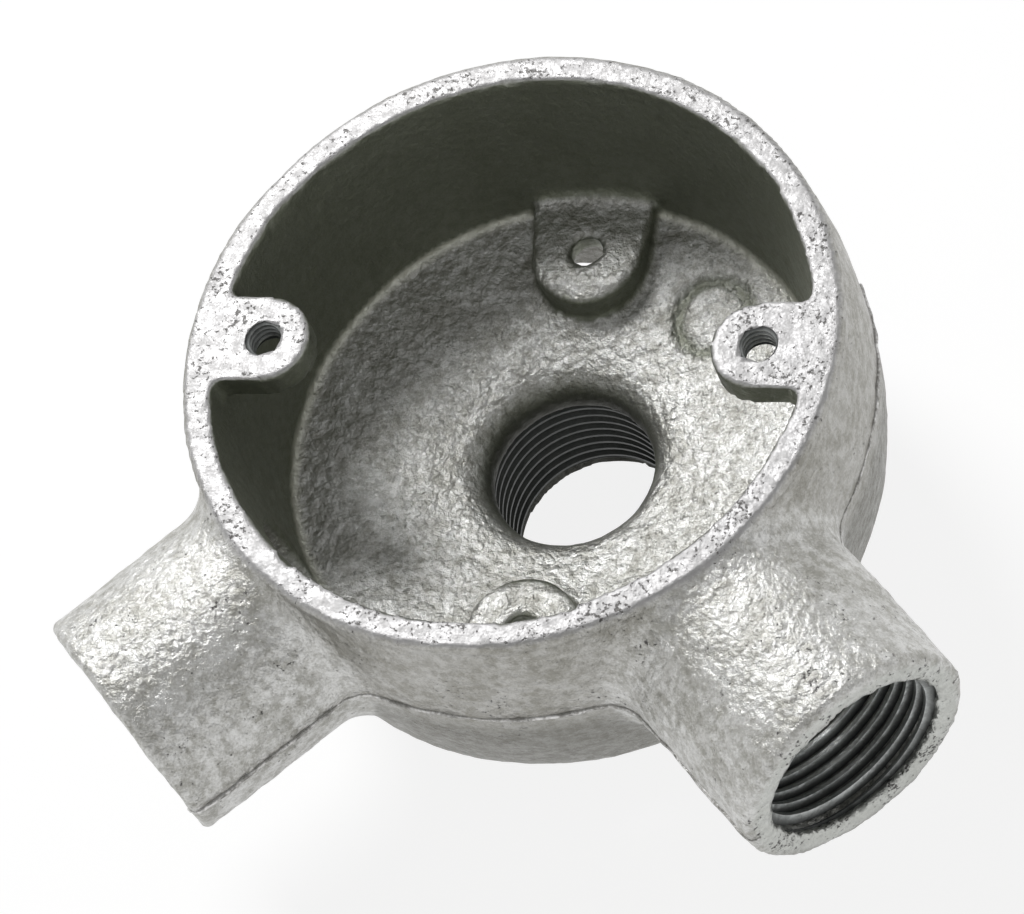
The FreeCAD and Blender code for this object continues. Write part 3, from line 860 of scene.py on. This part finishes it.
def thread_tree():
    """A spiral ridge that stands in from the bore's wall, turned and placed."""
    tree, given, result = new_tree(
        "thread", "GeometryNodeTree",
        {"Wall radius": ("NodeSocketFloat", 0.01), "Pitch": ("NodeSocketFloat", 0.0015),
         "Depth": ("NodeSocketFloat", 0.0008), "Turns": ("NodeSocketFloat", 8.0),
         "Crest share": ("NodeSocketFloat", 0.24), "Run out": ("NodeSocketFloat", 0.6),
         "Points a turn": ("NodeSocketInt", 72), "Place": ("NodeSocketVector", None),
         "Turned by": ("NodeSocketRotation", None), "Finish": ("NodeSocketMaterial", None)},
        {"Geometry": "NodeSocketGeometry"})
    take = given.outputs
    spiral = add_node(tree, "GeometryNodeCurveSpiral", {
        "Resolution": take["Points a turn"], "Rotations": take["Turns"],
        "Start Radius": take["Wall radius"], "End Radius": take["Wall radius"],
        "Height": sums(tree, "MULTIPLY", take["Pitch"], take["Turns"])})
    level = add_node(tree, "GeometryNodeSetCurveNormal", {"Curve": spiral.outputs[0]}, mode="Z_UP")
    half_root = sums(tree, "MULTIPLY", take["Pitch"], ROOT_SHARE)
    crest = sums(tree, "MULTIPLY", take["Pitch"], take["Crest share"])
    half_crest = sums(tree, "MULTIPLY", crest, 0.5)

    def corner(across, along):
        return add_node(tree, "ShaderNodeCombineXYZ", {"X": across, "Y": along}).outputs[0]

    profile = add_node(tree, "GeometryNodeCurvePrimitiveQuadrilateral", {
        "Point 1": corner(0.0, half_root), "Point 2": corner(take["Depth"], half_crest),
        "Point 3": corner(take["Depth"], sums(tree, "MULTIPLY", half_crest, -1.0)),
        "Point 4": corner(0.0, sums(tree, "MULTIPLY", half_root, -1.0))}, mode="POINTS")
    share = add_node(tree, "GeometryNodeSplineParameter").outputs["Factor"]
    to_end = sums(tree, "MINIMUM", share, sums(tree, "SUBTRACT", 1.0, share))
    turns_to_end = sums(tree, "MULTIPLY", to_end, take["Turns"])
    size = sums(tree, "MINIMUM", sums(tree, "DIVIDE", turns_to_end, take["Run out"]), 1.0)
    sweep = add_node(tree, "GeometryNodeCurveToMesh", {
        "Curve": level.outputs[0], "Profile Curve": profile.outputs[0],
        "Scale": sums(tree, "MAXIMUM", size, THINNEST), "Fill Caps": True})
    drop = add_node(tree, "ShaderNodeCombineXYZ", {
        "Z": sums(tree, "MULTIPLY", sums(tree, "MULTIPLY", take["Pitch"], take["Turns"]), -0.5)})
    centred = add_node(tree, "GeometryNodeTransform", {
        "Geometry": sweep.outputs[0], "Translation": drop.outputs[0]})
    placed = add_node(tree, "GeometryNodeTransform", {
        "Geometry": centred.outputs[0], "Translation": take["Place"], "Rotation": take["Turned by"]})
    real = add_node(tree, "GeometryNodeRealizeInstances", {"Geometry": placed.outputs[0]})
    finish = add_node(tree, "GeometryNodeSetMaterial", {
        "Geometry": real.outputs[0], "Material": take["Finish"]})
    tree.links.new(finish.outputs[0], result.inputs["Geometry"])
    return tree


thread = thread_tree()
print("thread tree takes", [item.name for item in thread.interface.items_tree
                            if item.in_out == "INPUT"])

# %% Cut the threads
PIPE_POINTS = 96
SCREW_POINTS = 40
SMALLEST_PIPE = 5
SHORT_BY = 0.1
RUN_OUT = 0.4
CREST_BAND = 0.75
THREAD_NAMES = ("thread_left", "thread_right", "thread_back", "thread_lug_left", "thread_lug_right")
# for each thread, the painted light at its roots and at its crests; the back thread, deep in the
# throat, is painted dark all through as shade
THREAD_PAINTED_LIGHT = ((0.06, 1.0), (0.06, 1.0), (0.15, 0.2), (0.06, 0.8), (0.06, 0.8))


def grown(tree, name, settings, source=None):
    """A new piece made by a Geometry Nodes tree, turned into a plain mesh."""
    piece = bpy.data.objects.new(name, source or bpy.data.meshes.new(name))
    scene.collection.objects.link(piece)
    maker = piece.modifiers.new(tree.name, "NODES")
    maker.node_group = tree
    sockets = {item.name: item.identifier for item in tree.interface.items_tree
               if item.in_out == "INPUT"}
    for label, value in settings.items():
        maker[sockets[label]] = value
    piece.data = finished_mesh(piece, name)
    return piece


def outward(mesh):
    """Merge doubled corners and turn every face outwards."""
    form = bmesh.new()
    form.from_mesh(mesh)
    bmesh.ops.remove_doubles(form, verts=form.verts, dist=0.0005 * MM)
    bmesh.ops.recalc_face_normals(form, faces=form.faces)
    form.to_mesh(mesh)
    form.free()
    mesh.update()


def cut_thread(name, bore, painted_light):
    """The thread of one bore; the last argument gives the painted shade of its roots and the painted
    light of its crests.
    """
    axis, middle, size, length, pitch, depth = bore
    turn = Vector(axis).to_track_quat("Z", "Y").to_euler()
    piece = grown(thread, name, {
        "Wall radius": (size + depth + ROOT_ROOM / 2) * MM, "Pitch": pitch * MM,
        "Depth": depth * MM, "Turns": length / pitch - SHORT_BY, "Run out": RUN_OUT,
        "Place": tuple(middle * MM), "Turned by": tuple(turn), "Finish": thread_finish,
        "Points a turn": PIPE_POINTS if size > SMALLEST_PIPE else SCREW_POINTS})
    outward(piece.data)
    offset = corners_in_mm(piece.data) - middle
    away = np.linalg.norm(offset - np.outer(offset @ axis, axis), axis=1)
    # the crest mark: low at the roots for painted shade, high at the crests for painted light
    mark = piece.data.attributes.new("crest", "FLOAT", "POINT")
    crest = painted_light[0] + (painted_light[1] - painted_light[0]) * step(size + depth * CREST_BAND, size, away)
    mark.data.foreach_set("value", crest.astype(np.float32))
    return piece


threads = [cut_thread(*parts) for parts in zip(THREAD_NAMES, bores, THREAD_PAINTED_LIGHT)]
print("threads:", {piece.name: len(piece.data.polygons) for piece in threads})

# %% [markdown]
# ## The parting line
# The mould's two halves meet at the height of the side spouts' axes, and a
# thin web of iron seeps between them. It follows the skin exactly, so its path
# is cut from the skin by a level plane, and Geometry Nodes sweep a little bead
# along that path. The bead swells and fades on its way.

# %% Cut the path of the parting line
PATH_STEP = 0.45
OUTSIDE_ROOM = 1.2


def parting_path():
    """Edges where a level plane cuts the outside of the skin."""
    form = bmesh.new()
    form.from_mesh(body.data)
    plane = Vector((0, 0, parting_height * MM))
    everything = form.verts[:] + form.edges[:] + form.faces[:]
    cut = bmesh.ops.bisect_plane(form, geom=everything, plane_co=plane, plane_no=(0, 0, 1))
    corners = {part for part in cut["geom_cut"] if isinstance(part, bmesh.types.BMVert)}
    edges = [part for part in cut["geom_cut"] if isinstance(part, bmesh.types.BMEdge)]

    def outside(corner):
        place = np.array(corner.co)[None, :] / MM
        if np.hypot(place[0, 0], place[0, 1]) < MOUTH_RADIUS + OUTSIDE_ROOM:
            return False
        return all(about(outlet, place)[1][0] >= SPOUT_RADIUS - OUTSIDE_ROOM
                   for outlet in outlets[:2])

    in_order = sorted(filter(outside, corners), key=lambda corner: corner.index)
    kept = {corner: place for place, corner in enumerate(in_order)}
    pairs = [tuple(kept[end] for end in edge.verts) for edge in edges
             if all(end in kept for end in edge.verts)]
    mesh = bpy.data.meshes.new("parting_flash")
    mesh.from_pydata([tuple(corner.co) for corner in kept], pairs, [])
    form.free()
    return mesh


path = parting_path()
print("parting path has", len(path.edges), "edges")

# %% Build the bead tree and sweep the parting line
BEAD_RADIUS = 0.26 * MM
BEAD_SIDES = 8
SWELL_EDGES = (0.36, 0.62)
SWELL_SIZES = (0.45, 1.15)


def bead_tree():
    """A bead along a path of edges; it swells and fades by noise."""
    tree, given, result = new_tree(
        "parting_bead", "GeometryNodeTree",
        {"Path": ("NodeSocketGeometry", None), "Bead radius": ("NodeSocketFloat", 0.00026),
         "Step": ("NodeSocketFloat", 0.00045), "Swell width": ("NodeSocketFloat", 0.006),
         "Wander": ("NodeSocketFloat", 0.0001), "Seed": ("NodeSocketFloat", 4.0),
         "Finish": ("NodeSocketMaterial", None)},
        {"Geometry": "NodeSocketGeometry"})
    take = given.outputs
    line = add_node(tree, "GeometryNodeMeshToCurve", {"Mesh": take["Path"]}, mode="EDGES")
    even = add_node(
        tree, "GeometryNodeResampleCurve",
        {"Curve": line.outputs[0], "Length": take["Step"]}, mode="LENGTH")
    place = add_node(tree, "GeometryNodeInputPosition").outputs[0]
    waves = sums(tree, "DIVIDE", 1.0, take["Swell width"])
    drift = add_node(tree, "ShaderNodeTexNoise", {
        "Vector": place, "W": take["Seed"], "Scale": sums(tree, "MULTIPLY", waves, 4.0),
        "Detail": 1.0}, noise_dimensions="4D")
    aside = add_node(
        tree, "ShaderNodeVectorMath",
        {0: drift.outputs["Color"], 1: (0.5, 0.5, 0.5)}, operation="SUBTRACT")
    wandering = add_node(
        tree, "ShaderNodeVectorMath",
        {0: aside.outputs[0], "Scale": take["Wander"]}, operation="SCALE")
    moved = add_node(tree, "GeometryNodeSetPosition", {
        "Geometry": even.outputs[0], "Offset": wandering.outputs[0]})
    swell = add_node(tree, "ShaderNodeTexNoise", {
        "Vector": place, "W": take["Seed"], "Scale": waves, "Detail": 3.0}, noise_dimensions="4D")
    size = ramped(tree, swell.outputs["Fac"], *SWELL_EDGES, *SWELL_SIZES)
    ring = add_node(tree, "GeometryNodeCurvePrimitiveCircle", {
        "Resolution": BEAD_SIDES, "Radius": take["Bead radius"]})
    sweep = add_node(tree, "GeometryNodeCurveToMesh", {
        "Curve": moved.outputs[0], "Profile Curve": ring.outputs[0], "Scale": size, "Fill Caps": True})
    real = add_node(tree, "GeometryNodeRealizeInstances", {"Geometry": sweep.outputs[0]})
    finish = add_node(tree, "GeometryNodeSetMaterial", {
        "Geometry": real.outputs[0], "Material": take["Finish"]})
    tree.links.new(finish.outputs[0], result.inputs["Geometry"])
    return tree


flash = grown(bead_tree(), "parting_flash", {
    "Bead radius": BEAD_RADIUS, "Step": PATH_STEP * MM, "Swell width": 6.0 * MM,
    "Wander": 0.25 * MM, "Seed": 4.0, "Finish": flash_finish}, source=path)
outward(flash.data)
for piece in (*threads, flash):
    move_corners(piece.data, within_box(corners_in_mm(piece.data)))
    for face in piece.data.polygons:
        face.use_smooth = piece is flash
print("parting line:", len(flash.data.polygons), "faces")

# %% [markdown]
# ## Floor and backdrop
# The box stands on a level sheet of paper. What the camera, a reflection or
# glass sees of it is made white by Light Path, in the paper and in the world
# alike, though a reflection finds the ceiling dimmer. The paper's own tone is
# grey, so it throws little light up at the iron and still takes a soft shadow,
# and the fill from the world is only what the shaded side needs.

# %% Lay the floor
FLOOR_REACH = 3.0
FLOOR_TONE = 0.22
FLOOR_GLOW = 0.86
FILL = 0.15
CEILING = 0.28
CEILING_STARTS = (0.25, 0.8)
PAPER_MOTTLE = 1.02


def seen_directly(tree):
    """1 for what the camera, a reflection or glass sees, and 0 for light on the object."""
    ray = add_node(tree, "ShaderNodeLightPath").outputs
    seen = sums(tree, "MAXIMUM", ray["Is Camera Ray"], ray["Is Glossy Ray"])
    return sums(tree, "MAXIMUM", seen, ray["Is Transmission Ray"])


def lay_floor():
    """A level sheet of paper under the object."""
    low = cad_low.z
    form = bmesh.new()
    corners = [form.verts.new((x * FLOOR_REACH, y * FLOOR_REACH, low))
               for x, y in ((-1, -1), (1, -1), (1, 1), (-1, 1))]
    form.faces.new(corners)
    mesh = bpy.data.meshes.new("studio_floor")
    form.to_mesh(mesh)
    form.free()
    made, tree, shader, place = new_material("studio_paper")
    grain = effect(tree, clouds, Place=place, Width=60.0)
    tones = [(tone, tone, tone, 1) for tone in (FLOOR_TONE, FLOOR_TONE * PAPER_MOTTLE)]
    tree.links.new(mixed(tree, grain, *tones), shader.inputs["Base Color"])
    shader.inputs["Roughness"].default_value = 0.9
    shader.inputs["Specular IOR Level"].default_value = 0.0
    shader.inputs["Emission Color"].default_value = (1, 1, 1, 1)
    glow = sums(tree, "MULTIPLY", seen_directly(tree), FLOOR_GLOW)
    tree.links.new(glow, shader.inputs["Emission Strength"])
    mesh.materials.append(made)
    floor = bpy.data.objects.new("studio_floor", mesh)
    scene.collection.objects.link(floor)
    floor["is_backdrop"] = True
    return floor


floor = lay_floor()
world = bpy.data.worlds.new("studio")
world.use_nodes = True
scene.world = world
sky = world.node_tree.nodes["Background"].inputs
sky["Color"].default_value = (1, 1, 1, 1)


def light_the_world(tree):
    """White low down, a dim ceiling, and an even fill for the light on the object."""
    way = add_node(tree, "ShaderNodeTexCoord").outputs["Generated"]
    rise = add_node(tree, "ShaderNodeSeparateXYZ", {0: way}).outputs["Z"]
    wall = ramped(tree, rise, *CEILING_STARTS, 1.0, CEILING)
    seen = seen_directly(tree)
    shown = sums(tree, "MULTIPLY", wall, seen)
    unseen = sums(tree, "MULTIPLY", sums(tree, "SUBTRACT", 1.0, seen), FILL)
    return sums(tree, "ADD", shown, unseen)


world.node_tree.links.new(light_the_world(world.node_tree), sky["Strength"])
print("floor at", round(cad_low.z / MM, 1), "mm")

# %% [markdown]
# ## Light
# One round softbox stands high behind the left shoulder of the box and leaves
# the inside of the bowl's back wall in shade. The fill from the world does the
# rest.

# %% Place the softbox
TOWARDS_KEY = Vector((-0.40, 0.46, 0.79))
KEY_DISTANCE = 0.90
KEY_WIDTH = 0.36
KEY_POWER = 5.0


def place_softbox():
    """A round softbox that faces the object from one direction."""
    data = bpy.data.lights.new("key", "AREA")
    data.shape = "DISK"
    data.size = KEY_WIDTH
    data.energy = KEY_POWER
    lamp = bpy.data.objects.new("key", data)
    way = TOWARDS_KEY.normalized()
    turn = way.to_track_quat("Z", "Y").to_matrix().to_4x4()
    lamp.matrix_world = Matrix.Translation(AIM + way * KEY_DISTANCE) @ turn
    scene.collection.objects.link(lamp)
    return lamp


key = place_softbox()
scene.view_settings.view_transform = "Standard"
print("softbox", key.name, "of", KEY_POWER, "W at", KEY_DISTANCE, "m")

# %% [markdown]
# ## Hand over the pieces
# The dressed casting stands for the CAD node, and the threads and the parting
# line go with it. All of them ride on the one body.

# %% Hand over and measure
PIECES = (body, *threads, flash)
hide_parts(casting.name)
for piece in PIECES:
    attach(piece, "root")

boxes = {"cad": [list(cad_low), list(cad_high)],
         "visual": [list(corner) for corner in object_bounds()]}
for name, (low, high) in boxes.items():
    print(name, "box in mm", [round(v / MM, 2) for v in (*low, *high)])
print("triangles:", {
    piece.name: sum(len(face.vertices) - 2 for face in piece.data.polygons) for piece in PIECES})
